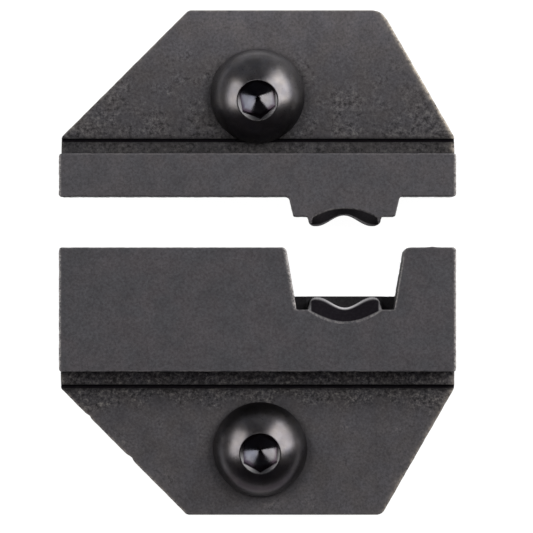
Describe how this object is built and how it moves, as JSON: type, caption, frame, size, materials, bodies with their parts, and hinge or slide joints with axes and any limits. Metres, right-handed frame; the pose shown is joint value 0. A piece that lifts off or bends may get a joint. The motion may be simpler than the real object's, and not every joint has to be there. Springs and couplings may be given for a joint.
{
  "type": "crimping die",
  "caption": "Blackened steel crimping die in an upper and a lower half with mating notch and tongue, each half with a sloped tang and a button-head socket screw.",
  "frame": {"origin": "middle of the open set, on the plane of the bars' back faces", "axes": "+X along the bars toward the crimp notch, +Y from the lower half to the upper half, +Z out of the front faces"},
  "size_m": [0.038, 0.0484, 0.0103],
  "materials": {
    "upper_die": "ground steel with a black oxide finish, fine speckle, edges worn bright",
    "lower_die": "ground steel with a black oxide finish, fine speckle, edges worn bright",
    "upper_screw": "smooth black oxide, semi-gloss",
    "lower_screw": "smooth black oxide, semi-gloss"
  },
  "bodies": {
    "lower_half": {"lower_die": "lower_die"},
    "upper_half": {"upper_die": "upper_die"},
    "lower_fixing": {"lower_screw": "lower_screw"},
    "upper_fixing": {"upper_screw": "upper_screw"}
  },
  "joints": [
    {"name": "die_close", "type": "slide", "parent": "lower_half", "child": "upper_half", "axis": [0, -1, 0], "range_m": [0, 0.00478]},
    {"name": "upper_screw_out", "type": "slide", "parent": "upper_half", "child": "upper_fixing", "axis": [0, 0, 1], "range_m": [0, 0.007]},
    {"name": "lower_screw_out", "type": "slide", "parent": "lower_half", "child": "lower_fixing", "axis": [0, 0, 1], "range_m": [0, 0.007]}
  ]
}
